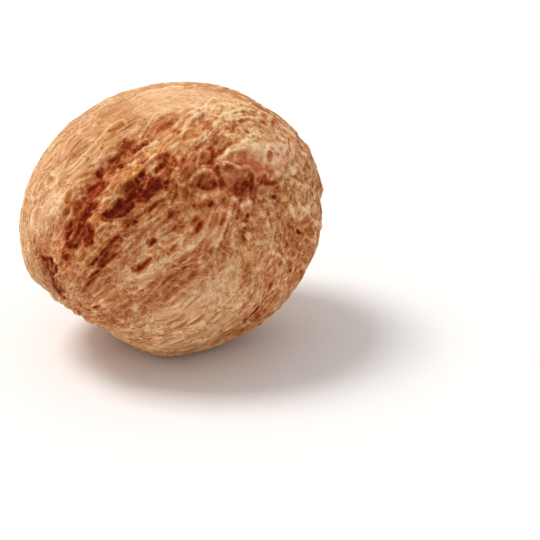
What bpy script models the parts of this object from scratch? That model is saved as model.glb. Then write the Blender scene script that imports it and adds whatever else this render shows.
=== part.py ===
"""A whole nutmeg, shelled: one dried kernel lying on its side, in metres, +Z up.

The body is a slightly pitched ellipsoid, flattened where the hilum end pressed against its shell. Its
relief follows the seed's own grain: long folds that run from the hilum, low at the -X end, to the
chalaza at the +X end, two stained grooves over the top, and the raphe, the seam on the near side.
The +X axis is the long one, and the origin is at the middle of the underside.
"""

import bmesh
import bpy
import numpy as np

MM = 0.001

# The body before its relief, in millimetres.
LENGTH = 24.14
WIDTH = 20.60
HEIGHT = 20.96
TAPER = 0.01  # the share by which the +X end is slimmer than the middle
PITCH_DEG = 8.0  # the +X end is raised by this much
FLAT_DIRECTION = (-0.78, -0.165, -0.88)  # where the hilum end is flattened
FLAT_DEPTH = 1.40
FLAT_SOFTNESS = 0.40
REST_DEPTH = 0.26  # how far the underside is worn flat

# The two ends of the grain, as directions from the middle of the body: degrees along X, then degrees
# round it from +Y (90 is up, 180 is -Y).
HILUM = (-62.0, -118.0)
CHALAZA = (38.0, 149.0)

# Long folds: how many go round, their half height in mm, their turn in degrees and their drift in
# degrees from one end to the other.
FOLDS = (
    (5, 0.075, 40.0, 60.0),
    (9, 0.060, 10.0, -80.0),
    (14, 0.055, 75.0, 120.0),
    (23, 0.045, 20.0, -150.0),
)
FOLD_SWAY_DEG = 4.0
FOLD_FADE = 4.5  # the folds die out this near the chord between the ends

# Grooves and low ridges along the grain: along and around at the start, along and around at the end,
# half width in mm, and height in mm.
STROKES = (
    (0.32, 108.0, 0.48, 98.0, 0.75, -0.34),
    (0.46, 98.0, 0.66, 87.0, 0.80, -0.26),
    (0.27, 122.0, 0.40, 112.0, 0.80, -0.26),
    (0.45, 119.0, 0.58, 110.0, 0.70, -0.32),
    (0.50, 121.0, 0.64, 118.0, 0.90, -0.22),
    (0.40, 117.0, 0.64, 99.0, 0.45, 0.16),
    (0.66, 132.0, 0.88, 146.0, 1.30, -0.36),
    (0.64, 116.0, 0.86, 128.0, 0.45, 0.18),
    (0.15, 108.0, 0.28, 103.0, 0.70, -0.24),
    (0.30, -60.0, 0.62, -74.0, 0.90, -0.30),
    (0.48, -100.0, 0.80, -112.0, 1.00, -0.28),
    (0.34, 12.0, 0.66, 2.0, 0.80, -0.20),
    (0.22, -20.0, 0.50, -28.0, 0.70, -0.20),
    (0.25, 152.0, 0.56, 146.0, 0.90, -0.28),
)
STROKE_END = 0.07  # each stroke fades over this share of the way along

RAPHE_DEPTH = 0.42
RAPHE_HALF_WIDTH = 1.15

HILUM_RADIUS = 1.7
HILUM_STEP = 0.16
HILUM_RIM = 0.16
HILUM_HOLE = 0.38
HILUM_HOLE_RADIUS = 0.65

CHALAZA_PIT = 0.40
CHALAZA_PIT_RADIUS = 1.1
CHALAZA_CREASES = 7
CHALAZA_CREASE_DEPTH = 0.20
CHALAZA_REACH = 3.6

QUADS_ACROSS = 28  # along each edge of the cube that is blown up into the body


def unit(vector):
    """The vector, or each row of vectors, at length one."""
    vector = np.asarray(vector, float)
    return vector / np.linalg.norm(vector, axis=-1, keepdims=True)


def direction(along_deg, around_deg):
    """A direction from its angle towards +X and its angle round X, counted from +Y."""
    along, around = np.radians((along_deg, around_deg))
    return np.array((np.sin(along), np.cos(along) * np.cos(around), np.cos(along) * np.sin(around)))


def body(directions):
    """The bare body: an ellipsoid stretched from the directions, tapered, pitched about Y, and pressed
    back smoothly behind the plane that flattens the hilum end."""
    pitch = np.radians(PITCH_DEG)
    turn = np.array(
        (
            (np.cos(pitch), 0.0, -np.sin(pitch)),
            (0.0, 1.0, 0.0),
            (np.sin(pitch), 0.0, np.cos(pitch)),
        )
    )
    halves = np.array((LENGTH, WIDTH, HEIGHT)) / 2
    slimming = 1 - TAPER * directions[..., :1] * np.array((0.0, 1.0, 1.0))
    points = directions * halves * slimming @ turn.T
    normal = unit(FLAT_DIRECTION)
    reach = np.linalg.norm(halves * (turn.T @ normal))
    over = points @ normal - (reach - FLAT_DEPTH)
    pressed = FLAT_SOFTNESS * np.logaddexp(0, over / FLAT_SOFTNESS)
    return points - pressed[..., None] * normal


def grain(points, hilum, chalaza):
    """Where each point lies in the grain: along, the share of the way from hilum to chalaza by distance;
    around, degrees about the chord between them, 0 on the far side and 180 on the raphe; and the
    distance from that chord."""
    chord = unit(chalaza - hilum)
    middle = (hilum + chalaza) / 2
    far = unit((middle @ chord) * chord - middle)
    side = np.cross(chord, far)
    from_hilum = np.linalg.norm(points - hilum, axis=-1)
    from_chalaza = np.linalg.norm(points - chalaza, axis=-1)
    along = from_hilum / (from_hilum + from_chalaza)
    far_part = (points - hilum) @ far
    side_part = (points - hilum) @ side
    around = np.degrees(np.arctan2(side_part, far_part))
    return along, around, np.hypot(far_part, side_part)


def bump(distance, half_width):
    """One on the line and nothing well away from it: a bell curve."""
    return np.exp(-((distance / half_width) ** 2))


def step(value, start, end):
    """Nothing before start, one after end, and a smooth S between them."""
    share = np.clip((value - start) / (end - start), 0, 1)
    return share * share * (3 - 2 * share)


def turned(around, centre):
    """Degrees from centre, between -180 and 180."""
    return (around - centre + 180) % 360 - 180


def folds(along, around, chord_distance):
    """Waves round the body, each count with its own height, turn and drift along the grain."""
    sway = FOLD_SWAY_DEG * np.sin(2 * np.pi * along * 1.5 + np.radians(around))
    height = 0
    for count, half_height, turn, drift in FOLDS:
        phase = count * (around + sway) + turn + drift * along
        height = height + half_height * np.cos(np.radians(phase))
    return height * step(chord_distance, 0, FOLD_FADE)


def strokes(along, around, chord_distance):
    """Grooves and ridges: a bell across each line, faded at both of its ends."""
    height = 0
    for start, around_start, end, around_end, half_width, depth in STROKES:
        share = (along - start) / (end - start)
        line = around_start + (around_end - around_start) * np.clip(share, 0, 1)
        across = np.radians(turned(around, line)) * chord_distance
        window = step(along, start - STROKE_END, start) * step(-along, -end - STROKE_END, -end)
        height = height + depth * bump(across, half_width) * window
    return height


def raphe(along, around, chord_distance):
    """The seam from hilum to chalaza: one long furrow on the near side."""
    across = np.radians(turned(around, 180)) * chord_distance
    window = step(along, 0.06, 0.2) * step(-along, -0.96, -0.86)
    return -RAPHE_DEPTH * bump(across, RAPHE_HALF_WIDTH) * window


def hilum_scar(distance):
    """A round scar: a low step with a raised rim and a hole in the middle."""
    plateau = HILUM_STEP * step(-distance, -HILUM_RADIUS - 0.5, -HILUM_RADIUS)
    rim = HILUM_RIM * bump(distance - HILUM_RADIUS, 0.45)
    return plateau + rim - HILUM_HOLE * bump(distance, HILUM_HOLE_RADIUS)


def chalaza_pit(distance, around):
    """A shallow pit with creases that run out of it like a star."""
    rays = np.clip(np.cos(np.radians(CHALAZA_CREASES * around)), 0, 1) ** 2
    reach = bump(distance - CHALAZA_REACH / 2, CHALAZA_REACH / 2)
    return -CHALAZA_PIT * bump(distance, CHALAZA_PIT_RADIUS) - CHALAZA_CREASE_DEPTH * rays * reach


def relief(points, hilum, chalaza):
    """How far the skin stands out of the bare body, in mm."""
    along, around, chord_distance = grain(points, hilum, chalaza)
    height = folds(along, around, chord_distance)
    height = height + strokes(along, around, chord_distance)
    height = height + raphe(along, around, chord_distance)
    height = height + hilum_scar(np.linalg.norm(points - hilum, axis=-1))
    return height + chalaza_pit(np.linalg.norm(points - chalaza, axis=-1), around)


def kernel_points(cube_points):
    """The finished skin: cube points spread evenly over a sphere, made the body, and moved along its
    outward direction by the relief."""
    directions = unit(np.tan(cube_points * np.pi / 4))
    bare = body(directions)
    outward = unit(directions / np.array((LENGTH, WIDTH, HEIGHT)))
    height = relief(bare, body(direction(*HILUM)), body(direction(*CHALAZA)))
    return bare + outward * height[..., None]


def rest_flat(mesh):
    """Cuts the underside off level and closes it with one flat face."""
    lowest = min(vertex.co.z for vertex in mesh.verts)
    cut = bmesh.ops.bisect_plane(
        mesh,
        geom=mesh.verts[:] + mesh.edges[:] + mesh.faces[:],
        dist=1e-5 * MM,
        plane_co=(0, 0, lowest + REST_DEPTH * MM),
        plane_no=(0, 0, 1),
        clear_inner=True,
    )
    rim = [item for item in cut["geom_cut"] if isinstance(item, bmesh.types.BMEdge)]
    bmesh.ops.contextual_create(mesh, geom=rim)


def stand_on_origin(mesh):
    """Moves the kernel so that the origin is under the middle of its box."""
    points = np.array([vertex.co for vertex in mesh.verts])
    low, high = points.min(axis=0), points.max(axis=0)
    shift = -np.array(((low[0] + high[0]) / 2, (low[1] + high[1]) / 2, low[2]))
    bmesh.ops.translate(mesh, verts=mesh.verts[:], vec=shift)


def nutmeg_skin():
    """Dried seed: light brown, dull."""
    material = bpy.data.materials.new("nutmeg_skin")
    material.use_nodes = True
    shader = material.node_tree.nodes["Principled BSDF"]
    shader.inputs["Base Color"].default_value = (0.60, 0.33, 0.15, 1)
    shader.inputs["Roughness"].default_value = 0.62
    shader.inputs["Metallic"].default_value = 0
    return material


def make_nutmeg():
    """The one piece: a cube cut into a grid, blown up into the kernel and worn flat underneath."""
    mesh = bmesh.new()
    bmesh.ops.create_cube(mesh, size=2)
    bmesh.ops.subdivide_edges(mesh, edges=mesh.edges[:], cuts=QUADS_ACROSS - 1, use_grid_fill=True)
    cube_points = np.array([vertex.co for vertex in mesh.verts])
    for vertex, point in zip(mesh.verts, kernel_points(cube_points) * MM):
        vertex.co = point
    rest_flat(mesh)
    stand_on_origin(mesh)
    bmesh.ops.recalc_face_normals(mesh, faces=mesh.faces[:])
    data = bpy.data.meshes.new("nutmeg")
    mesh.to_mesh(data)
    mesh.free()
    data.materials.append(nutmeg_skin())
    data.shade_smooth()
    data.set_sharp_from_angle(angle=np.radians(50))
    nutmeg = bpy.data.objects.new("nutmeg", data)
    bpy.context.collection.objects.link(nutmeg)


for leftover in list(bpy.data.objects):
    bpy.data.objects.remove(leftover)

make_nutmeg()
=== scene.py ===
"""The looks of a whole nutmeg: its skin, a pale floor, soft studio light and a camera.

Sizes are in millimetres and are turned into metres where a mesh, a light or the camera takes them. The
places on the kernel are directions from its middle, in degrees along X and round it, or lines in its
grain, which runs from the hilum to the chalaza: along is the share of that way, and around is in degrees.
"""

import bpy
import numpy as np
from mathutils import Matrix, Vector


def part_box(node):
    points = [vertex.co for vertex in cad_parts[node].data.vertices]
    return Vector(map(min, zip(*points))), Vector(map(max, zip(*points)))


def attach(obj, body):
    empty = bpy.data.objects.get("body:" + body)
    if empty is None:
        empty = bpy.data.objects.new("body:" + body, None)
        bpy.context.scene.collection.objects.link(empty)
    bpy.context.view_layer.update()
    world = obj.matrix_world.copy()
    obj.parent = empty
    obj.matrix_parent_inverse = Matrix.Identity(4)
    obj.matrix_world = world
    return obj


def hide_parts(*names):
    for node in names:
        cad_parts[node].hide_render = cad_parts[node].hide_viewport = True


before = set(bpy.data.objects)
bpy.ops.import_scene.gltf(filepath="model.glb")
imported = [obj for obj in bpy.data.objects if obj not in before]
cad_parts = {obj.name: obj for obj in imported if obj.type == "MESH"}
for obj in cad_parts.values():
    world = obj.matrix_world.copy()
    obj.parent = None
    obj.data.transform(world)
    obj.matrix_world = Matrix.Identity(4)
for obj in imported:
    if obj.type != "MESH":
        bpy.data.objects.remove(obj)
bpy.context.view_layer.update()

MM = 0.001

# The kernel's form, in millimetres: the same sizes as its solid has.
LENGTH = 24.14
WIDTH = 20.60
HEIGHT = 20.96
TAPER = 0.01
PITCH_DEG = 8.0
FLAT_DIRECTION = (-0.78, -0.165, -0.88)
FLAT_DEPTH = 1.40
FLAT_SOFTNESS = 0.40
HILUM = (-62.0, -118.0)
CHALAZA = (38.0, 149.0)
FOLDS = (
    (5, 0.075, 40.0, 60.0),
    (9, 0.060, 10.0, -80.0),
    (14, 0.055, 75.0, 120.0),
    (23, 0.045, 20.0, -150.0),
)
FOLD_SWAY_DEG = 4.0
FOLD_FADE = 4.5
STROKES = (
    (0.32, 108.0, 0.48, 98.0, 0.75, -0.34),
    (0.46, 98.0, 0.66, 87.0, 0.80, -0.26),
    (0.27, 122.0, 0.40, 112.0, 0.80, -0.26),
    (0.45, 119.0, 0.58, 110.0, 0.70, -0.32),
    (0.50, 121.0, 0.64, 118.0, 0.90, -0.22),
    (0.40, 117.0, 0.64, 99.0, 0.45, 0.16),
    (0.66, 132.0, 0.88, 146.0, 1.30, -0.36),
    (0.64, 116.0, 0.86, 128.0, 0.45, 0.18),
    (0.15, 108.0, 0.28, 103.0, 0.70, -0.24),
    (0.30, -60.0, 0.62, -74.0, 0.90, -0.30),
    (0.48, -100.0, 0.80, -112.0, 1.00, -0.28),
    (0.34, 12.0, 0.66, 2.0, 0.80, -0.20),
    (0.22, -20.0, 0.50, -28.0, 0.70, -0.20),
    (0.25, 152.0, 0.56, 146.0, 0.90, -0.28),
)
RAPHE_DEPTH = 0.42
RAPHE_HALF_WIDTH = 1.15
HILUM_RADIUS = 1.7
HILUM_STEP = 0.16
HILUM_RIM = 0.16
HILUM_HOLE = 0.38
HILUM_HOLE_RADIUS = 0.65
CHALAZA_PIT = 0.40
CHALAZA_PIT_RADIUS = 1.1
CHALAZA_CREASES = 7
CHALAZA_CREASE_DEPTH = 0.20
CHALAZA_REACH = 3.6

# The skin's own scales, in millimetres.
GRAIN_RADIUS = 9.0  # where the grain has its true width round the chord
GRAIN_STRETCH = (0.20, 0.62)  # length along the grain counts this much, from hilum to chalaza
GRAIN_LEAN_DEG = 35.0  # the grain leans this far round on its way along
GRAIN_TURN_DEG = 55.0  # and turns this much more as it nears the chalaza
GRAIN_LENGTH = 27.0  # the way from hilum to chalaza over the skin
ROPE_CELL = 1.9  # cells between the raised veins
NET_CELL = 0.80  # small cells between the fine veins
SLOWEST_SPREAD = 0.12  # no pattern is stretched further than one over this

SKIN_GRID = 128  # quads along each edge of the cube that is blown up into the kernel
FAR = 9.0  # a distance that is out of reach of every line and cell
PATH_REACH = 1.5  # no ridge or blot shows further than this from its path
RIDGE_WIDTH = 0.17  # the plain ridge's half width, which the others are measured by


def unit(vector):
    """Each vector at length one."""
    vector = np.asarray(vector, float)
    return vector / np.linalg.norm(vector, axis=-1, keepdims=True)


def direction(along_deg, around_deg):
    """A direction: sin along on X, and cos along times cos and sin around on Y and Z."""
    along, around = np.radians((along_deg, around_deg))
    return np.array((np.sin(along), np.cos(along) * np.cos(around), np.cos(along) * np.sin(around)))


def body(directions):
    """Ellipsoid halves times the direction, slimmed along X, turned about Y, then pressed back by a soft
    ramp, width times log of one plus e to the height over it, behind the hilum's flat."""
    pitch = np.radians(PITCH_DEG)
    turn = np.array(
        (
            (np.cos(pitch), 0.0, -np.sin(pitch)),
            (0.0, 1.0, 0.0),
            (np.sin(pitch), 0.0, np.cos(pitch)),
        )
    )
    halves = np.array((LENGTH, WIDTH, HEIGHT)) / 2
    slimming = 1 - TAPER * directions[..., :1] * np.array((0.0, 1.0, 1.0))
    points = directions * halves * slimming @ turn.T
    normal = unit(FLAT_DIRECTION)
    reach = np.linalg.norm(halves * (turn.T @ normal))
    over = points @ normal - (reach - FLAT_DEPTH)
    pressed = FLAT_SOFTNESS * np.logaddexp(0, over / FLAT_SOFTNESS)
    return points - pressed[..., None] * normal


def grain(points, hilum, chalaza):
    """Along: distance from the hilum over the sum of both distances. Around: the angle about the chord,
    0 on the far side and 180 on the raphe. Chord distance: how far from the chord."""
    chord = unit(chalaza - hilum)
    middle = (hilum + chalaza) / 2
    far = unit((middle @ chord) * chord - middle)
    side = np.cross(chord, far)
    from_hilum = np.linalg.norm(points - hilum, axis=-1)
    from_chalaza = np.linalg.norm(points - chalaza, axis=-1)
    along = from_hilum / (from_hilum + from_chalaza)
    far_part = (points - hilum) @ far
    side_part = (points - hilum) @ side
    around = np.degrees(np.arctan2(side_part, far_part))
    return along, around, np.hypot(far_part, side_part)


def bump(distance, half_width):
    """e to minus the square of distance over half width."""
    return np.exp(-((distance / half_width) ** 2))


def step(value, start, end):
    """A smooth S from nothing at start to one at end: 3 share squared less 2 share cubed."""
    share = np.clip((value - start) / (end - start), 0, 1)
    return share * share * (3 - 2 * share)


def turned(around, centre):
    """Degrees from centre, between -180 and 180."""
    return (around - centre + 180) % 360 - 180


def folds(along, around, chord_distance):
    """Sum of cosines of count times around, each with its turn and its drift along the grain."""
    sway = FOLD_SWAY_DEG * np.sin(2 * np.pi * along * 1.5 + np.radians(around))
    height = 0
    for count, half_height, turn, drift in FOLDS:
        phase = count * (around + sway) + turn + drift * along
        height = height + half_height * np.cos(np.radians(phase))
    return height * step(chord_distance, 0, FOLD_FADE)


def on_line(along, around, chord_distance, line, fade=0.07):
    """Distance across a straight line in the grain, in mm, and a window that ends it at both ends."""
    start, around_start, end, around_end = line
    share = (along - start) / (end - start)
    centre = around_start + (around_end - around_start) * np.clip(share, 0, 1)
    across = np.radians(turned(around, centre)) * chord_distance
    window = step(along, start - fade, start) * step(-along, -end - fade, -end)
    return across, window


def strokes(along, around, chord_distance):
    """Depth times a bell across each line times the line's window."""
    height = 0
    for *line, half_width, depth in STROKES:
        across, window = on_line(along, around, chord_distance, line)
        height = height + depth * bump(across, half_width) * window
    return height


def raphe(along, around, chord_distance):
    """A bell furrow along around = 180, windowed at both ends."""
    across = np.radians(turned(around, 180)) * chord_distance
    window = step(along, 0.06, 0.2) * step(-along, -0.96, -0.86)
    return -RAPHE_DEPTH * bump(across, RAPHE_HALF_WIDTH) * window


def hilum_scar(distance):
    """A low round step, a bell rim at its edge and a bell hole in its middle."""
    plateau = HILUM_STEP * step(-distance, -HILUM_RADIUS - 0.5, -HILUM_RADIUS)
    rim = HILUM_RIM * bump(distance - HILUM_RADIUS, 0.45)
    return plateau + rim - HILUM_HOLE * bump(distance, HILUM_HOLE_RADIUS)


def chalaza_pit(distance, around):
    """A bell pit, less creases that are the square of cosine count times around, in a ring."""
    rays = np.clip(np.cos(np.radians(CHALAZA_CREASES * around)), 0, 1) ** 2
    reach = bump(distance - CHALAZA_REACH / 2, CHALAZA_REACH / 2)
    return -CHALAZA_PIT * bump(distance, CHALAZA_PIT_RADIUS) - CHALAZA_CREASE_DEPTH * rays * reach


class Rubble:
    """A block of random numbers that repeats, read at whole-number corners."""

    SIDE = 64

    def __init__(self, seed, width=3):
        self.block = np.random.default_rng(seed).random((self.SIDE,) * 3 + (width,))

    def at(self, corners):
        """The random numbers of each corner."""
        i, j, k = np.moveaxis(corners % self.SIDE, -1, 0)
        return self.block[i, j, k]


def noise(points, size, seed):
    """Gradient noise from about -1 to 1: at each corner of a cell, the dot of its random direction with
    the offset to it, blended by smooth steps."""
    lattice = Rubble(seed)
    scaled = points / size
    corner = np.floor(scaled).astype(int)
    inside = scaled - corner
    smooth = inside**3 * (inside * (inside * 6 - 15) + 10)
    total = 0
    for offset in np.ndindex(2, 2, 2):
        offset = np.array(offset)
        weight = np.prod(np.where(offset, smooth, 1 - smooth), axis=-1)
        slope = lattice.at(corner + offset) * 2 - 1
        total = total + weight * np.einsum("...i,...i", slope, inside - offset)
    return total * 1.7


def layered_noise(points, size, seed, layers=3):
    """Noise plus half of the noise at half the size, and so on."""
    return sum(noise(points, size / 2**n, seed + n) / 2**n for n in range(layers))


def cells(points, size, seed, uneven=0.9):
    """Cells round one scattered seed in each box of a lattice: the nearest seed, the next, the straight
    distances to both, and the nearest seed's random number."""
    lattice = Rubble(seed, 4)
    scaled = points / size
    home = np.floor(scaled).astype(int)
    near = np.full(points.shape[:-1], FAR)
    next_near = near.copy()
    seed_near = np.zeros_like(points)
    seed_next = np.zeros_like(points)
    number = np.zeros_like(near)
    for offset in np.ndindex(3, 3, 3):
        corner = home + np.array(offset) - 1
        random = lattice.at(corner)
        seeds = corner + 0.5 + uneven * (random[..., :3] - 0.5)
        distance = np.linalg.norm(seeds - scaled, axis=-1)
        first = distance < near
        second = ~first & (distance < next_near)
        next_near = np.where(first, near, np.where(second, distance, next_near))
        seed_next = np.where(first[..., None], seed_near, np.where(second[..., None], seeds, seed_next))
        near = np.where(first, distance, near)
        seed_near = np.where(first[..., None], seeds, seed_near)
        number = np.where(first, random[..., 3], number)
    return seed_near * size, seed_next * size, near * size, next_near * size, number


def pattern_space(points, hilum, chalaza):
    """Where a point lies in the skin's pattern, in mm: along the grain, squeezed so that cells are long
    near the hilum and rounder near the chalaza, and across it as a circle round the chord."""
    along, around, chord_distance = grain(points, hilum, chalaza)
    start, end = GRAIN_STRETCH
    run = GRAIN_LENGTH * (start * along + (end - start) * along**3 / 3)
    radius = np.sqrt(chord_distance * GRAIN_RADIUS)
    turn = np.radians(around + GRAIN_LEAN_DEG * along + GRAIN_TURN_DEG * step(along, 0.56, 0.94))
    return np.stack((run, radius * np.cos(turn), radius * np.sin(turn)), axis=-1)


def warped(points, hilum, chalaza):
    """Pattern space plus two sizes of noise times their sway."""
    pattern = pattern_space(points, hilum, chalaza)
    sway = np.stack([noise(points, 3.4, 11 + n) for n in range(3)], axis=-1)
    fine = np.stack([noise(points, 1.1, 21 + n) for n in range(3)], axis=-1)
    return pattern + 0.42 * sway + 0.12 * fine


def spreads(points, normals, space, nudge=0.01):
    """The pattern at each point, and its rates along two tangents of the skin: the change over a small
    nudge, divided by the nudge."""
    helper = np.where(np.abs(normals[..., :1]) < 0.6, (1.0, 0.0, 0.0), (0.0, 1.0, 0.0))
    first = unit(np.cross(normals, helper))
    second = np.cross(normals, first)
    middle = space(points)
    rate_a = (space(points + nudge * first) - middle) / nudge
    rate_b = (space(points + nudge * second) - middle) / nudge
    return middle, rate_a, rate_b


def vein_distance(middle, rate_a, rate_b, size, seed):
    """Distance in mm on the skin to the nearest wall between two cells, and the cell's number: the
    difference of the squared distances over twice the gap between the seeds, over how fast the pattern
    moves towards the wall."""
    seed_near, seed_next, near, next_near, number = cells(middle, size, seed)
    gap = seed_next - seed_near
    length = np.linalg.norm(gap, axis=-1) + 1e-9
    wall = (next_near**2 - near**2) / (2 * length)
    towards = gap / length[..., None]
    rate = np.hypot(
        np.einsum("...i,...i", rate_a, towards),
        np.einsum("...i,...i", rate_b, towards),
    )
    return wall / np.maximum(rate, SLOWEST_SPREAD), number


def cube_sphere(count):
    """Points of a cube's grid, spread evenly over a sphere, and its quads. Each face is a grid of two
    parameters, and points that two faces share are made one."""
    steps = np.arange(-count, count + 1, 2)
    u, v = np.meshgrid(steps, steps, indexing="ij")
    ahead = np.full_like(u, count)
    sides = []
    for axis in range(3):
        for sign in (1, -1):
            order = (ahead * sign, u, v * sign)
            sides.append(np.stack([order[(n - axis) % 3] for n in range(3)], axis=-1))
    corners = np.stack(sides).reshape(-1, 3)
    points, index = np.unique(corners, axis=0, return_inverse=True)
    index = index.reshape(6, count + 1, count + 1)
    left, right = index[:, :-1], index[:, 1:]
    quads = np.stack((left[..., :-1], right[..., :-1], right[..., 1:], left[..., 1:]), axis=-1)
    return unit(np.tan(points / count * np.pi / 4)), quads.reshape(-1, 4)


# Dark streaks along the grain, partly stains and partly painted shade: along and around at the start and
# at the end, half width in mm, and how dark.
STAINS_AND_SHADE = (
    (0.140, 124.0, 0.160, 116.0, 0.70, 0.80),
    (0.540, 139.0, 0.650, 142.0, 0.42, 0.68),
    (0.300, 139.0, 0.430, 133.0, 0.45, 0.68),
    (0.430, 131.0, 0.540, 128.0, 0.36, 0.70),
    (0.220, 144.0, 0.360, 142.0, 0.45, 0.62),
    (0.450, 146.0, 0.600, 149.0, 0.38, 0.62),
    (0.380, 156.0, 0.500, 158.0, 0.35, 0.58),
    (0.600, 155.0, 0.720, 166.0, 0.45, 0.66),
)
STREAK_END = 0.04

# Dark blots, partly stains and partly painted shade, with painted shadow under the arched ridges near the
# chalaza: half width in mm, how dark, and the directions that the blot runs through.
BLOTS = (
    (0.60, 1.00, ((-43, 128), (-41, 125), (-39, 122))),
    (0.50, 0.95, ((-39, 129), (-37, 125), (-35, 122))),
    (0.40, 0.85, ((-46, 129), (-43, 127))),
    (0.55, 0.75, ((-51, 123), (-48, 125), (-46, 127))),
    (0.24, 1.00, ((-50, 127), (-49, 127))),
    (0.50, 0.80, ((-44, 132), (-40, 132), (-38, 131))),
    (0.50, 0.85, ((-49, 132), (-45, 133), (-42, 134))),
    (0.60, 0.80, ((-55, 134), (-51, 135), (-47, 135))),
    (0.45, 0.90, ((-55, 134), (-57, 138))),
    (0.70, 0.90, ((-51, 141), (-47, 141))),
    (0.60, 0.95, ((-60, 152), (-57, 149), (-53, 145))),
    (0.50, 0.90, ((-48, 149), (-46, 146))),
    (0.35, 0.75, ((-35, 126), (-33, 124))),
    (0.30, 0.80, ((-36, 129), (-34, 128))),
    (0.22, 0.95, ((-27, 114), (-24, 115))),
    (0.60, 0.65, ((-30, 117), (-26, 117))),
    (0.35, 0.95, ((-25, 120), (-23, 120))),
    (0.50, 0.90, ((-33, 118), (-30, 116))),
    (0.35, 0.85, ((-21, 115), (-20, 113), (-18, 111))),
    (0.50, 0.80, ((-18, 113), (-17, 116))),
    (0.30, 0.80, ((-20, 117), (-20, 120))),
    (0.28, 0.70, ((-16, 116), (-12, 117))),
    (0.25, 0.65, ((-16, 111), (-13, 113))),
    (0.70, 0.25, ((-10, 114), (-6, 111))),
    (0.30, 0.60, ((-6, 111), (-3, 111), (-1, 111))),
    (0.25, 0.70, ((-2, 114), (0, 116))),
    (0.45, 0.25, ((-1, 109), (3, 107))),
    (0.30, 0.95, ((-22, 131), (-20, 129), (-17, 127), (-15, 126))),
    (0.50, 1.00, ((-26, 134), (-22, 131))),
    (0.50, 0.95, ((-10, 126), (-8, 128), (-8, 130))),
    (0.55, 0.90, ((-12, 130), (-9, 129))),
    (0.50, 0.95, ((-14, 136), (-12, 134), (-10, 132))),
    (0.80, 1.05, ((-21, 138), (-17, 136), (-14, 136))),
    (0.40, 0.80, ((-13, 138), (-10, 140))),
    (0.50, 1.00, ((-37, 141), (-33, 141), (-29, 140))),
    (0.35, 0.90, ((-31, 138), (-29, 137))),
    (0.50, 1.00, ((-28, 139), (-26, 135), (-24, 132))),
    (0.30, 0.45, ((4, 122), (4, 126))),
    (0.25, 0.40, ((2, 128), (3, 125))),
    (0.30, 0.50, ((2, 130), (1, 131))),
    (0.35, 0.70, ((4, 133), (7, 132))),
    (0.40, 0.65, ((2, 135), (5, 135))),
    (0.50, 0.60, ((-4, 132), (-4, 137))),
    (0.30, 0.75, ((-1, 139), (3, 140))),
    (0.70, 0.50, ((-2, 142), (3, 143))),
    (0.80, 0.30, ((8, 143), (13, 143), (18, 145))),
    (0.50, 0.90, ((0, 143), (4, 144))),
    (0.45, 0.90, ((6, 139), (6, 142), (7, 145))),
    (0.30, 0.60, ((9, 139), (12, 140))),
    (0.60, 0.90, ((11, 150), (14, 149), (17, 149), (19, 150))),
    (0.30, 0.90, ((19, 145), (20, 149))),
    (0.40, 0.80, ((23, 147), (27, 149))),
    (0.25, 0.90, ((28, 150), (30, 152))),
    (0.90, 0.32, ((15, 137), (20, 138), (24, 142))),
    (0.45, 0.30, ((-21, 101), (-17, 101))),
    (0.18, 0.60, ((11, 132), (14, 130), (17, 128))),
    (0.22, 0.40, ((14, 135), (17, 134), (21, 134))),
    (0.20, 0.60, ((9, 120), (13, 117))),
    (0.20, 0.60, ((10, 127), (12, 124))),
    (0.30, 0.60, ((8, 129), (9, 127))),
    (0.22, 0.50, ((19, 121), (21, 120), (23, 118))),
    (0.16, 0.45, ((23, 113), (26, 111))),
    (0.18, 0.60, ((16, 115), (19, 114))),
    (0.20, 0.45, ((22, 123), (22, 124))),
    (0.18, 0.45, ((25, 124), (27, 124))),
    (0.20, 0.45, ((31, 119), (32, 121))),
    (0.13, 0.40, ((26, 117), (29, 116), (31, 118))),
    (0.35, 0.45, ((29, 112), (34, 110))),
    (0.22, 0.60, ((36, 117), (39, 112))),
    (0.20, 0.50, ((40, 118), (44, 112))),
    (0.22, 0.65, ((31, 140), (32, 136))),
    (0.25, 0.50, ((35, 140), (35, 138))),
    (0.15, 0.40, ((16, 111), (19, 111), (21, 107))),
    (0.42, 1.05, ((-73, 152), (-72, 162), (-71, 172))),
    (0.30, 0.90, ((-68, 161), (-69, 167))),
    (0.20, 0.75, ((-76, 124), (-79, 134), (-79, 148))),
    (0.50, 0.95, ((-73, 198), (-69, 198), (-68, 204))),
)

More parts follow.
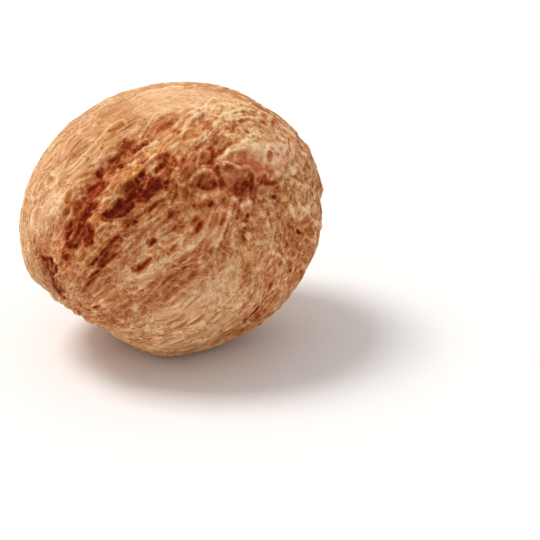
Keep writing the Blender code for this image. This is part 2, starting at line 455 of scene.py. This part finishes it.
# Raised ridges, as directions from the middle of the body, with height and half width in mm.
RIDGES = (
    (0.09, 0.13, ((-36, 103), (-29, 102), (-25, 100), (-21, 98), (-18, 97), (-15, 98), (-15, 103))),
    (0.09, 0.15, ((-34, 110), (-28, 111), (-25, 112), (-23, 113))),
    (0.08, 0.13, ((-27, 121), (-24, 122), (-20, 122), (-18, 121))),
    (0.08, 0.13, ((-19, 120), (-17, 119), (-14, 118), (-12, 118), (-8, 118))),
    (0.12, 0.16, ((-27, 130), (-25, 129), (-20, 128), (-16, 126), (-12, 124), (-8, 124), (-4, 123),
                  (-1, 121))),
    (0.08, 0.12, ((-18, 130), (-15, 129), (-12, 126))),
    (0.10, 0.13, ((-1, 121), (1, 118), (4, 115), (7, 112), (10, 111), (12, 110))),
    (0.05, 0.10, ((9, 112), (14, 108), (16, 104), (20, 100), (24, 98))),
    (0.07, 0.12, ((1, 117), (4, 114), (6, 110))),
    (0.09, 0.13, ((-39, 130), (-36, 130), (-34, 129), (-32, 128), (-30, 128))),
    (0.05, 0.13, ((-37, 132), (-34, 133), (-30, 134), (-28, 137))),
    (0.08, 0.14, ((-21, 136), (-19, 134), (-17, 131))),
    (0.06, 0.12, ((5, 127), (3, 130), (1, 133), (0, 136))),
    (0.12, 0.13, ((-5, 141), (-3, 139), (0, 138), (3, 138), (5, 140), (6, 145))),
    (0.14, 0.14, ((5, 138), (7, 137), (10, 137), (12, 138), (14, 140), (16, 141))),
    (0.13, 0.13, ((15, 141), (19, 141), (20, 143), (21, 146), (21, 150))),
    (0.10, 0.13, ((22, 147), (24, 145), (27, 146), (28, 149))),
    (0.10, 0.14, ((10, 135), (12, 134), (14, 132), (16, 132), (20, 132), (23, 133))),
    (0.08, 0.12, ((13, 132), (16, 130), (19, 130), (23, 129), (27, 128), (32, 126))),
    (0.08, 0.14, ((32, 126), (33, 129), (33, 132), (32, 136))),
    (0.06, 0.11, ((12, 119), (15, 117), (17, 117), (19, 119), (19, 122), (16, 122))),
    (0.05, 0.12, ((11, 122), (14, 123), (16, 122))),
    (0.06, 0.11, ((19, 116), (21, 116), (25, 115), (28, 115), (31, 115), (33, 117), (33, 120))),
    (0.05, 0.11, ((23, 121), (24, 122), (28, 122), (30, 121))),
    (0.06, 0.11, ((14, 111), (18, 113), (20, 111), (23, 111), (26, 110), (29, 109), (33, 105), (37, 100))),
    (0.03, 0.10, ((16, 109), (18, 106), (21, 104), (23, 105), (22, 108))),
    (0.05, 0.11, ((34, 118), (35, 113), (39, 108), (42, 109), (41, 112), (37, 118))),
    (0.05, 0.11, ((39, 119), (42, 112), (47, 105), (49, 108))),
    (0.05, 0.11, ((19, 124), (21, 126), (26, 126), (30, 124), (32, 125))),
    (0.06, 0.15, ((29, 150), (30, 148), (35, 147), (39, 145))),
)

# Places where the coat's colour drifts: direction, radius in mm, how golden, or pink below nothing, and
# how much paler, or browner below nothing. The paler places towards the chalaza end are partly painted
# light, brightening the side that the key light reaches less.
GLOWS = (
    (-24, 129, 0.50, 1.00, 0.05),
    (-21, 127, 0.80, 0.60, 0.08),
    (-16, 123, 0.80, 0.40, 0.08),
    (-11, 123, 0.70, 0.60, 0.05),
    (-31, 132, 1.00, 0.30, 0.05),
    (-6, 121, 0.70, 0.40, 0.00),
    (14, 132, 0.60, 0.40, 0.10),
    (20, 131, 0.70, 0.40, 0.05),
    (26, 129, 0.80, 0.45, 0.10),
    (18, 138, 0.80, -0.60, -0.08),
    (23, 141, 0.90, -0.60, -0.10),
    (10, 141, 0.60, -0.50, -0.05),
    (35, 133, 1.20, -0.40, 0.18),
    (43, 138, 1.60, -0.50, 0.20),
    (48, 120, 1.60, 0.10, 0.12),
    (36, 112, 1.40, 0.40, 0.10),
    (28, 119, 0.60, -0.50, 0.06),
    (31, 112, 0.50, -1.00, 0.00),
    (17, 119, 0.80, 0.20, 0.08),
    (-18, 101, 0.50, -0.50, -0.05),
    (-41, 125, 0.80, -0.50, 0.00),
    (-58, 100, 2.50, 0.00, 0.05),
    (-56, 115, 1.20, 0.20, 0.05),
    (-68, 131, 1.20, 0.30, 0.16),
    (-78, 170, 1.80, -0.30, -0.20),
    (-72, 192, 1.60, -0.40, -0.20),
    (-49, 120, 1.50, 0.00, 0.08),
    (-41, 129, 1.20, 0.00, 0.08),
    (-15, 84, 1.80, 0.00, -0.12),
    (-8, 98, 1.50, -0.10, -0.06),
    (-13, 127, 1.30, 0.10, 0.12),
    (-2, 112, 0.90, 0.00, 0.04),
    (9, 117, 1.40, 0.10, 0.06),
    (24, 103, 2.00, 0.30, -0.03),
    (27, 118, 1.10, 0.10, 0.10),
    (-8, 117, 0.90, 0.00, -0.08),
    (-4, 111, 0.90, 0.00, 0.10),
    (4, 115, 1.20, 0.00, 0.06),
    (-20, 118, 0.90, 0.00, 0.10),
    (-15, 128, 1.00, 0.00, 0.16),
    (-53, 124, 1.20, 0.00, 0.16),
    (-36, 107, 1.20, 0.00, 0.05),
)

# Brown ground round the grooves and on the lower front side, partly the coat's own brown and partly
# painted shade: along and around at both ends, half width in mm and strength.
BROWN_AND_SHADED_ZONES = (
    (0.54, 94.0, 0.66, 83.0, 1.1, 0.60),
    (0.30, 107.0, 0.54, 95.0, 1.2, 0.80),
    (0.26, 117.0, 0.44, 113.0, 1.6, 0.90),
    (0.44, 119.0, 0.60, 110.0, 1.9, 0.90),
    (0.58, 120.0, 0.70, 114.0, 2.2, 0.90),
    (0.62, 104.0, 0.72, 92.0, 1.6, 0.70),
    (0.66, 130.0, 0.84, 141.0, 1.3, 0.95),
    (0.80, 144.0, 0.90, 150.0, 1.8, 1.00),
    (0.14, 124.0, 0.24, 98.0, 1.2, 0.80),
    (0.58, 134.0, 0.78, 150.0, 2.4, 0.75),
    (0.24, 136.0, 0.60, 134.0, 2.8, 0.65),
    (0.30, -60.0, 0.62, -74.0, 1.8, 0.85),
    (0.48, -100.0, 0.80, -112.0, 1.8, 0.80),
    (0.34, 12.0, 0.66, 2.0, 1.5, 0.70),
    (0.22, -20.0, 0.50, -28.0, 1.3, 0.70),
    (0.10, 180.0, 0.90, 180.0, 1.6, 0.75),
)

# Paler stretches, the one along the top partly painted light, and calm ones that have little grain: the
# same numbers as the zones.
PALE = (
    (0.60, 70.0, 0.74, 58.0, 2.0, 0.85),
    (0.83, 100.0, 0.92, 80.0, 0.9, 0.60),
    (0.40, -20.0, 0.60, -34.0, 2.0, 0.70),
    (0.36, 156.0, 0.66, 154.0, 1.6, 0.50),
)
CALM = (
    (0.52, 76.0, 0.70, 60.0, 1.8, 0.55),
    (0.66, 126.0, 0.84, 134.0, 1.0, 0.30),
    (0.78, 112.0, 0.92, 116.0, 1.7, 0.60),
)


def strongest(lines, along, around, chord_distance, fade=0.07):
    """The strongest of the lines at each point: a line's strength times e to minus the fourth power of
    the distance across it over its half width, faded at both ends."""
    strength = np.zeros_like(along)
    for *line, half_width, amount in lines:
        across, window = on_line(along, around, chord_distance, line, fade)
        strength = np.maximum(strength, amount * bump(across**2, half_width**2) * window)
    return strength


def smooth_path(points, per_span=8):
    """A curve through the points: in each span, the cubic whose slope at a point is half the step
    between its neighbours."""
    points = np.concatenate((2 * points[:1] - points[1:2], points, 2 * points[-1:] - points[-2:-1]))
    before, start, end, after = points[:-3], points[1:-2], points[2:-1], points[3:]
    share = (np.arange(per_span) / per_span)[:, None, None]
    path = start + share * (end - before) / 2
    path = path + share**2 * (before - 2.5 * start + 2 * end - after / 2)
    path = path + share**3 * (1.5 * (start - end) + (after - before) / 2)
    return np.concatenate((path.swapaxes(0, 1).reshape(-1, 3), points[-2:-1]))


def path_distance(points, path):
    """Distance to the nearest of the path's straight steps, and the share of the path at that place."""
    nearest = np.full(len(points), FAR)
    place = np.zeros(len(points))
    from_middle = np.linalg.norm(points - path.mean(axis=0), axis=-1)
    close = np.flatnonzero(from_middle < PATH_REACH + np.ptp(path, axis=0).max())
    here = points[close]
    best, share = nearest[close], place[close]
    for number, (start, end) in enumerate(zip(path[:-1], path[1:])):
        run = end - start
        part = np.clip((here - start) @ run / (run @ run), 0, 1)
        distance = np.linalg.norm(here - start - part[:, None] * run, axis=-1)
        better = distance < best
        best = np.where(better, distance, best)
        share = np.where(better, (number + part) / (len(path) - 1), share)
    nearest[close], place[close] = best, share
    return nearest, place


def strands(points, size, seed):
    """One on the crest lines where noise passes through nothing, falling to nothing between them."""
    return 1 - np.clip(np.abs(noise(points, size, seed)) / 0.5, 0, 1)


def trace(places):
    """A smooth path over the bare body through these directions."""
    return smooth_path(np.array([body(direction(*place)) for place in places]))


def coarse_relief(bare, hilum, chalaza):
    """The large relief that the solid has too: folds, strokes, seam, scar and pit, added up."""
    where = grain(bare, hilum, chalaza)
    height = folds(*where) + strokes(*where) + raphe(*where)
    height = height + hilum_scar(np.linalg.norm(bare - hilum, axis=-1))
    return height + chalaza_pit(np.linalg.norm(bare - chalaza, axis=-1), where[1])


def ridge_fields(bare):
    """Height: the highest ridge's height times a bell across it, tapered at both ends. Ridge: distance to
    the nearest, counted in ridge widths. Near: a wide bell round every ridge."""
    height = np.zeros(len(bare))
    ridge = np.full(len(bare), FAR)
    near = np.zeros(len(bare))
    for top, half_width, places in RIDGES:
        distance, share = path_distance(bare, trace(places))
        taper = step(share, -0.02, 0.12) * step(-share, -1.02, -0.88)
        height = np.maximum(height, top * bump(distance, half_width) * (0.25 + 0.75 * taper))
        ridge = np.minimum(ridge, distance * (RIDGE_WIDTH / half_width) + 0.15 * (1 - taper))
        near = np.maximum(near, bump(distance, 0.6))
    return height, ridge, near


def blot_field(bare):
    """How dark the blots are: across each, its darkness times e to minus the eighth power of the distance
    over the half width, with an edge made ragged by noise."""
    ragged_edge = 0.26 * layered_noise(bare, 0.55, 61, 2)
    dark = np.zeros(len(bare))
    for half_width, amount, places in BLOTS:
        distance, _ = path_distance(bare, trace(places))
        distance = np.maximum(distance + ragged_edge, 0)
        dark = np.maximum(dark, amount * bump(distance**4, half_width**4))
    return dark


def glow_fields(bare):
    """How golden and how much paler the coat is, the paler part partly painted light: the sum of the
    places' amounts times their bells.
    """
    golden = np.zeros(len(bare))
    paler = np.zeros(len(bare))
    for along_deg, around_deg, radius, amount, lightness_and_painted_light in GLOWS:
        distance = np.linalg.norm(bare - body(direction(along_deg, around_deg)), axis=-1)
        golden = golden + amount * bump(distance, radius)
        paler = paler + lightness_and_painted_light * bump(distance, radius)
    return golden, paler


def seated(points, coarse_points):
    """The points moved so that the coarse form's box meets the solid's, with whatever is under the flat
    raised to it; and the move."""
    low, high = coarse_points.min(axis=0), coarse_points.max(axis=0)
    box_low, box_high = (np.array(corner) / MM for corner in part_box("nutmeg"))
    shift = (box_low + box_high) / 2 - (low + high) / 2
    shift[2] = box_high[2] - high[2]
    points = points + shift
    points[:, 2] = np.maximum(points[:, 2], 0)
    return points, shift


def skin_object(points, quads, fields, pattern):
    """The skin's mesh from its points and quads, with each field as a number on every vertex."""
    mesh = bpy.data.meshes.new("kernel_skin")
    mesh.from_pydata(points * MM, [], quads)
    mesh.shade_smooth()
    for name, values in fields.items():
        field = mesh.attributes.new(name, "FLOAT", "POINT")
        field.data.foreach_set("value", values.astype(np.float32))
    vectors = mesh.attributes.new("pattern", "FLOAT_VECTOR", "POINT")
    vectors.data.foreach_set("vector", pattern.astype(np.float32).ravel())
    skin = bpy.data.objects.new("kernel_skin", mesh)
    bpy.context.collection.objects.link(skin)
    return skin


def make_skin():
    """The kernel's skin: the body plus its outward direction times the sum of the coarse relief, the
    ridges, the veins and strands, less the pits of the stains. The same lines set its colour fields."""
    directions, quads = cube_sphere(SKIN_GRID)
    hilum = body(direction(*HILUM))
    chalaza = body(direction(*CHALAZA))
    bare = body(directions)
    outward = unit(directions / np.array((LENGTH, WIDTH, HEIGHT)))
    where = grain(bare, hilum, chalaza)
    along, around, _ = where
    coarse = coarse_relief(bare, hilum, chalaza)

    # The two nets of veins, and the strands between them.
    pattern, rate_a, rate_b = spreads(bare, outward, lambda p: warped(p, hilum, chalaza))
    wall, _ = vein_distance(pattern, rate_a, rate_b, ROPE_CELL, 5)
    shorter = np.array((1.5, 1.0, 1.0))
    small_wall, small_number = vein_distance(
        pattern * shorter, rate_a * shorter, rate_b * shorter, NET_CELL, 9
    )
    long_strands = strands(pattern * (1.3, 1, 1), 1.15, 51)
    short_strands = strands(pattern * (2.2, 1, 1), 0.60, 52)
    ragged = layered_noise(pattern * (2.2, 1, 1), 0.8, 31)
    fading = layered_noise(pattern, 2.5, 41, 2)
    drift = layered_noise(pattern * (0.45, 1, 1), 1.1, 81, 3)

    # Where the skin is rounder, calmer, browner, paler or out of the stains' reach; the browner ground is
    # partly painted shade.
    rounded = step(along, 0.55, 0.72)
    calm = strongest(CALM, *where)
    brown_and_shaded_zone = strongest(BROWN_AND_SHADED_ZONES, *where)
    pale = strongest(PALE, *where)
    patches = strongest(STAINS_AND_SHADE, *where, STREAK_END)
    far_side = step(np.abs(turned(around, 95)), 40, 55)
    raised, ridge, near_ridge = ridge_fields(bare)
    blots = blot_field(bare)
    golden, paler = glow_fields(bare)

    # The fine relief.
    faint = np.clip(0.60 + 0.9 * fading, 0, 1) * (0.35 + 0.65 * rounded) * (1 - 0.5 * near_ridge)
    faint = faint * (1 - 0.8 * calm)
    veins = 0.13 * bump(wall, 0.17) * faint
    small_veins = 0.08 * bump(small_wall, 0.13) * (1 - 0.5 * rounded) * (1 - 0.8 * calm)
    crest = np.maximum(bump(ridge, 0.15), bump(wall, 0.15) * faint)
    threaded = (0.06 * long_strands**2 + 0.03 * short_strands**2) * (1 - 0.75 * rounded) * (1 - 0.7 * calm)
    lumps = 0.06 * strands(bare, 0.75, 71) ** 2 + 0.03 * strands(bare, 0.40, 72) ** 2
    fine = threaded + (lumps - threaded) * np.clip(0.9 * brown_and_shaded_zone, 0, 1) * (1 - 0.6 * rounded)
    fine = fine + veins + small_veins + raised - 0.10

    # The stains and painted shade: patches, brown ground and blots, the darkest of them, left out of
    # crests and veins. Their darkness is partly stains and partly painted shade, in the furrows, under the
    # arched ridges and on the lower front side.
    patches = np.maximum(patches, 0.68 * step(drift, 0.05, 0.60) * step(brown_and_shaded_zone, 0.30, 0.8) * far_side)
    mottle = (0.30 * (small_number - 0.5) + 0.65 * ragged) * (1 - 0.6 * calm)
    stained_and_shaded = 0.95 * step(patches + 0.6 * mottle, 0.25, 0.90)
    stained_and_shaded = np.maximum(stained_and_shaded, 0.36 * brown_and_shaded_zone * (1 + 1.2 * mottle))
    stained_and_shaded = np.maximum(stained_and_shaded, 0.30 * step(drift + 0.5 * mottle, 0.0, 0.6) * far_side)
    stained_and_shaded = np.clip(np.maximum(stained_and_shaded, blots * (0.86 + 0.7 * mottle)), 0, 0.92)
    web = 0.45 * bump(small_wall, 0.12) * (1 - calm) * (1 - 0.5 * np.clip(blots, 0, 1))
    stain_and_shade = stained_and_shaded * (1 - 0.62 * crest) * (1 - web)

    # The tone, partly painted light and shade: paler on what stands out and darker in the low places,
    # partly the coat's own colour and partly painted shade in the furrows; dark lines of painted shade
    # beside the ridges and the veins.
    tone_and_painted_light = 0.28 + 1.4 * (fine + 0.05) + 0.17 * crest * (1 - 0.4 * brown_and_shaded_zone) + 0.22 * rounded + 0.12 * fading
    # Painted shade: dark lines along both sides of every ridge and every vein.
    tone_and_painted_light = tone_and_painted_light - 0.14 * bump(ridge - 0.36, 0.12) * near_ridge - 0.10 * bump(wall - 0.32, 0.12) * faint
    tone_and_painted_light = tone_and_painted_light + 0.16 * (small_number - 0.5) * (1 - calm)
    tone_and_painted_light = tone_and_painted_light + 0.10 * bump(small_wall, 0.10) * (1 - calm) * (1 - 0.5 * rounded)
    # Painted light, in part: paler brightens the side towards the chalaza, and pale the top.
    tone_and_painted_light = tone_and_painted_light + 0.03 * brown_and_shaded_zone * (1 - crest) + 0.26 * pale + 0.12 * calm + paler

    height = coarse + fine - 0.10 * stain_and_shade + 0.035 * ragged * (1 - 0.7 * calm)
    points, shift = seated(bare + outward * height[..., None], bare + outward * coarse[..., None])
    textured = 1 - 0.85 * calm
    fields = {
        "tone_and_painted_light": tone_and_painted_light,
        "stain_and_shade": stain_and_shade,
        "glow": golden,
        "threads": (1 - rounded) * (1 - 0.7 * brown_and_shaded_zone) * textured,
        "grains": np.maximum(rounded, 0.8 * brown_and_shaded_zone) * textured,
    }
    return skin_object(points, quads, fields, pattern), shift


def linear(hex_colour):
    """An sRGB hex value as linear red, green, blue and one."""
    parts = [int(hex_colour[n : n + 2], 16) / 255 for n in (1, 3, 5)]
    return (*(p / 12.92 if p <= 0.04045 else ((p + 0.055) / 1.055) ** 2.4 for p in parts), 1.0)


def spread_colours(ramp, colours):
    """Sets these colours at even steps along a colour ramp."""
    while len(ramp.elements) < len(colours):
        ramp.elements.new(0.5)
    for n, colour in enumerate(colours):
        ramp.elements[n].position = n / (len(colours) - 1)
        ramp.elements[n].color = linear(colour)


def add(tree, kind, settings=None, **links):
    """Adds a node, gives it its settings, and links or sets its inputs, by name or, as i and a number, by
    place."""
    node = tree.nodes.new(kind)
    for name, value in (settings or {}).items():
        setattr(node, name, value)
    for name, value in links.items():
        by_place = name[0] == "i" and name[1:].isdigit()
        socket = node.inputs[int(name[1:]) if by_place else name]
        if isinstance(value, bpy.types.NodeSocket):
            tree.links.new(value, socket)
        else:
            socket.default_value = value
    return node


# Colours of the dried seed coat, from its furrows to its crests, the furrows' darker end partly painted
# shade; what its stains and painted shade leave of them, from clean to darkest; and how the coat's own
# drift tints it, from pink to golden.
SKIN_TONES = ("#88532c", "#ab7347", "#c89263", "#dcab80", "#ecc498", "#f8dcb8")
STAIN_AND_SHADE_TINTS = ("#ffffff", "#ebcfbc", "#d4a388", "#b87454", "#954626", "#762b0e")
DRIFT_TINTS = ("#ffe8f6", "#fff0ec", "#fff9f3", "#fff6e2", "#fff2c4")

# The coat's fine patterns, by how many there are in a millimetre. Its threads and grit are really finer,
# and are drawn this coarse so that they show.
THREADS_PER_MM = 2.1  # pale threads round cells about 0.48 mm wide
THREAD_SWAYS_PER_MM = 1.1  # the threads waver about once in 0.9 mm
THREAD_SWAY = 0.35  # by this much, in mm
THREAD_SHORTENING = (2.2, 1, 1)  # cells are this much shorter along the grain than the pattern's own
FIBRES_PER_MM = 3.4  # fibres about 0.29 mm apart
CRUMBS_PER_MM = 2.6  # crumbs of dried skin about 0.38 mm across
WRINKLES_PER_MM = 1.0  # fine wrinkles about 1 mm apart
GRIT_PER_MM = 6.5  # grit about 0.15 mm across
DRIFTS_PER_MM = 0.30  # the colour drifts over about 3.3 mm
BUMP_MM = 0.06  # how deep the fine patterns are
LEVEL_OFFSET = 0.24  # what the patterns add to the tone on the whole


def dried_seed_skin():
    """The nutmeg's seed coat, air dried and rubbed clean: a dull skin with almost no sheen. Drying leaves
    fine pale threads over brown along the grain, crumbs and wrinkles where it shrank most, and redder,
    darker stains in the furrows. The darkness in the furrows and low places is partly painted shade."""
    material = bpy.data.materials.new("dried_seed_skin")
    material.use_nodes = True
    tree = material.node_tree
    shader = tree.nodes["Principled BSDF"]
    names = ("tone_and_painted_light", "stain_and_shade", "glow", "threads", "grains")
    nodes = [add(tree, "ShaderNodeAttribute", {"attribute_name": name}) for name in names]
    tone_and_painted_light, stain_and_shade, glow, threads, grains = (node.outputs["Fac"] for node in nodes)
    pattern = add(tree, "ShaderNodeAttribute", {"attribute_name": "pattern"}).outputs["Vector"]
    place = add(tree, "ShaderNodeTexCoord").outputs["Object"]
    less = {"operation": "SUBTRACT"}
    times = {"operation": "MULTIPLY"}
    times_and_plus = {"operation": "MULTIPLY_ADD"}
    math = "ShaderNodeMath"
    cloud = "ShaderNodeTexNoise"

    # Pale threads: the edges of swayed cells that follow the grain.
    shorter = add(tree, "ShaderNodeVectorMath", times, i0=pattern, i1=THREAD_SHORTENING).outputs[0]
    sway = add(tree, cloud, Vector=shorter, Scale=THREAD_SWAYS_PER_MM, Detail=1).outputs["Color"]
    swayed = add(
        tree, "ShaderNodeVectorMath", times_and_plus, i0=sway, i1=(THREAD_SWAY,) * 3, i2=shorter
    ).outputs[0]
    to_edge = {"feature": "DISTANCE_TO_EDGE"}
    edge = add(tree, "ShaderNodeTexVoronoi", to_edge, Vector=swayed, Scale=THREADS_PER_MM)
    cell = add(tree, "ShaderNodeTexVoronoi", {"feature": "F1"}, Vector=swayed, Scale=THREADS_PER_MM)
    thread = add(
        tree, "ShaderNodeMapRange", {"interpolation_type": "SMOOTHSTEP"},
        i0=edge.outputs["Distance"], i1=0.0, i2=0.20, i3=threads, i4=0.0,
    ).outputs[0]
    cell = add(tree, math, times, i0=cell.outputs["Color"], i1=threads).outputs[0]

    # Fibres where the threads are, crumbs and wrinkles where the skin is grainy, grit everywhere.
    fibre = add(tree, cloud, Vector=shorter, Scale=FIBRES_PER_MM, Detail=3, Roughness=0.7).outputs[0]
    crumb = add(tree, cloud, Vector=place, Scale=CRUMBS_PER_MM / MM, Detail=3, Roughness=0.7).outputs[0]
    ridged = {"noise_type": "RIDGED_MULTIFRACTAL", "normalize": True}
    wrinkle = add(
        tree, cloud, ridged, Vector=place, Scale=WRINKLES_PER_MM / MM, Detail=2, Roughness=0.6
    ).outputs[0]
    grit = add(tree, cloud, Vector=place, Scale=GRIT_PER_MM / MM, Detail=2, Roughness=0.6).outputs[0]
    drift = add(tree, cloud, Vector=place, Scale=DRIFTS_PER_MM / MM, Detail=2, Roughness=0.5).outputs[0]
    centred = []
    for value, middle, share in ((fibre, 0.5, threads), (crumb, 0.5, grains), (wrinkle, 0.15, grains)):
        value = add(tree, math, less, i0=value, i1=middle).outputs[0]
        centred.append(add(tree, math, times, i0=value, i1=share).outputs[0])
    fibre, crumb, wrinkle = centred
    speck = add(tree, math, times, i0=grit, i1=stain_and_shade).outputs[0]

    # The coat's tone, its stains and painted shade, and its relief are each a sum of the patterns times
    # their weights. The tone and the stains mostly follow the relief, darker in the fine hollows: partly
    # the coat's own colour, partly painted shade.
    tone_parts = ((thread, 0.12), (cell, 0.30), (fibre, 1.2), (crumb, 1.1), (wrinkle, 0.8), (grit, 0.60))
    stain_and_shade_parts = (
        (stain_and_shade, -0.3), (thread, -0.15), (fibre, -0.60), (crumb, -0.95), (wrinkle, -0.5), (speck, 0.7),
    )
    relief_parts = ((fibre, 1.4), (crumb, 2.4), (wrinkle, 1.5), (grit, 0.8))
    totals = []
    for total, parts in ((tone_and_painted_light, tone_parts), (stain_and_shade, stain_and_shade_parts), (thread, relief_parts)):
        for part, weight in parts:
            total = add(tree, math, times_and_plus, i0=part, i1=weight, i2=total).outputs[0]
        totals.append(total)
    level, darkening, relief = totals

    # Colour: the clean coat by its level, times what the stains and painted shade leave, times the drift's
    # tint.
    level = add(tree, math, less, i0=level, i1=LEVEL_OFFSET).outputs[0]
    clean = add(tree, "ShaderNodeValToRGB", Fac=level)
    spread_colours(clean.color_ramp, SKIN_TONES)
    darkened = add(tree, "ShaderNodeValToRGB", Fac=darkening)
    spread_colours(darkened.color_ramp, STAIN_AND_SHADE_TINTS)
    hue = add(tree, math, times_and_plus, i0=glow, i1=0.5, i2=drift).outputs[0]
    tint = add(tree, "ShaderNodeValToRGB", Fac=hue)
    spread_colours(tint.color_ramp, DRIFT_TINTS)
    whole = {"data_type": "RGBA", "blend_type": "MULTIPLY"}
    colour = clean.outputs[0]
    for layer in (darkened, tint):
        colour = add(tree, "ShaderNodeMix", whole, i0=1.0, i6=colour, i7=layer.outputs[0]).outputs[2]
    tree.links.new(colour, shader.inputs["Base Color"])
    shader.inputs["Roughness"].default_value = 0.7
    shader.inputs["Specular IOR Level"].default_value = 0.06
    bumps = add(tree, "ShaderNodeBump", Height=relief, Strength=1.0, Distance=BUMP_MM * MM)
    tree.links.new(bumps.outputs[0], shader.inputs["Normal"])
    return material


def matt_white_board():
    """Painted board, rolled matt: pale and even, so that it takes a soft shadow and no shine."""
    material = bpy.data.materials.new("matt_white_board")
    material.use_nodes = True
    shader = material.node_tree.nodes["Principled BSDF"]
    shader.inputs["Base Color"].default_value = linear("#f4f2f0")
    shader.inputs["Roughness"].default_value = 0.8
    return material


FLOOR_HALF = 600.0
FLOOR_GAP = 0.02  # the floor is this far under the flat, so that the two don't lie in one plane


def make_floor():
    """A wide level square of pale board: each corner is plus or minus the half side on X and Y."""
    signs = np.array(((-1, -1, -1), (1, -1, -1), (1, 1, -1), (-1, 1, -1)))
    mesh = bpy.data.meshes.new("floor")
    mesh.from_pydata(signs * (FLOOR_HALF, FLOOR_HALF, FLOOR_GAP) * MM, [], [(0, 1, 2, 3)])
    mesh.materials.append(matt_white_board())
    floor = bpy.data.objects.new("floor", mesh)
    bpy.context.collection.objects.link(floor)


def add_light(name, place_mm, aim_mm, side_mm, watts, colour="#ffffff"):
    """A square soft box that faces what it lights."""
    data = bpy.data.lights.new(name, "AREA")
    data.size = side_mm * MM
    data.energy = watts
    data.color = linear(colour)[:3]
    light = bpy.data.objects.new(name, data)
    light.location = Vector(place_mm) * MM
    light.rotation_euler = (Vector(aim_mm) - Vector(place_mm)).to_track_quat("-Z", "Y").to_euler()
    bpy.context.collection.objects.link(light)


# The camera: degrees round from -Y and up, its distance, and how far the point that it looks at lies
# beside and below the kernel's middle, in mm.
CAMERA_AROUND = -25.0
CAMERA_UP = 25.0
CAMERA_DISTANCE = 175.6
CAMERA_ASIDE = 7.544
CAMERA_BELOW = 4.0
LENS = 150
SENSOR = 36


def make_camera(centre_mm):
    """Looks at a point beside and below the kernel's middle, from around and above it."""
    around, up = np.radians((CAMERA_AROUND, CAMERA_UP))
    back = np.array((np.sin(around) * np.cos(up), -np.cos(around) * np.cos(up), np.sin(up)))
    right = np.array((np.cos(around), np.sin(around), 0.0))
    above = np.cross(back, right)
    aim = np.array(centre_mm) + CAMERA_ASIDE * right - CAMERA_BELOW * above
    data = bpy.data.cameras.new("camera")
    data.lens = LENS
    data.sensor_width = SENSOR
    data.clip_start = 0.01
    data.clip_end = 5
    camera = bpy.data.objects.new("camera", data)
    camera.location = Vector(aim + back * CAMERA_DISTANCE) * MM
    camera.rotation_euler = Vector(-back).to_track_quat("-Z", "Y").to_euler()
    bpy.context.collection.objects.link(camera)
    bpy.context.scene.camera = camera


KEY_OFFSET = (-260, 190, 600)  # from the kernel's middle, in mm
KEY_SIDE = 260
KEY_WATTS = 3.1
SURROUND = 0.64


def make_light(centre):
    """A large soft box above and behind on the left, and a pale surround that fills the shadows."""
    add_light("key", np.add(centre, KEY_OFFSET), centre, KEY_SIDE, KEY_WATTS)
    world = bpy.data.worlds.new("studio")
    world.use_nodes = True
    background = world.node_tree.nodes["Background"]
    background.inputs["Color"].default_value = linear("#ffffff")
    background.inputs["Strength"].default_value = SURROUND
    bpy.context.scene.world = world
    bpy.context.scene.view_settings.view_transform = "Standard"


skin, centre = make_skin()
skin.data.materials.append(dried_seed_skin())
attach(skin, "root")
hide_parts("nutmeg")
make_floor()
make_light(centre)
make_camera(centre)
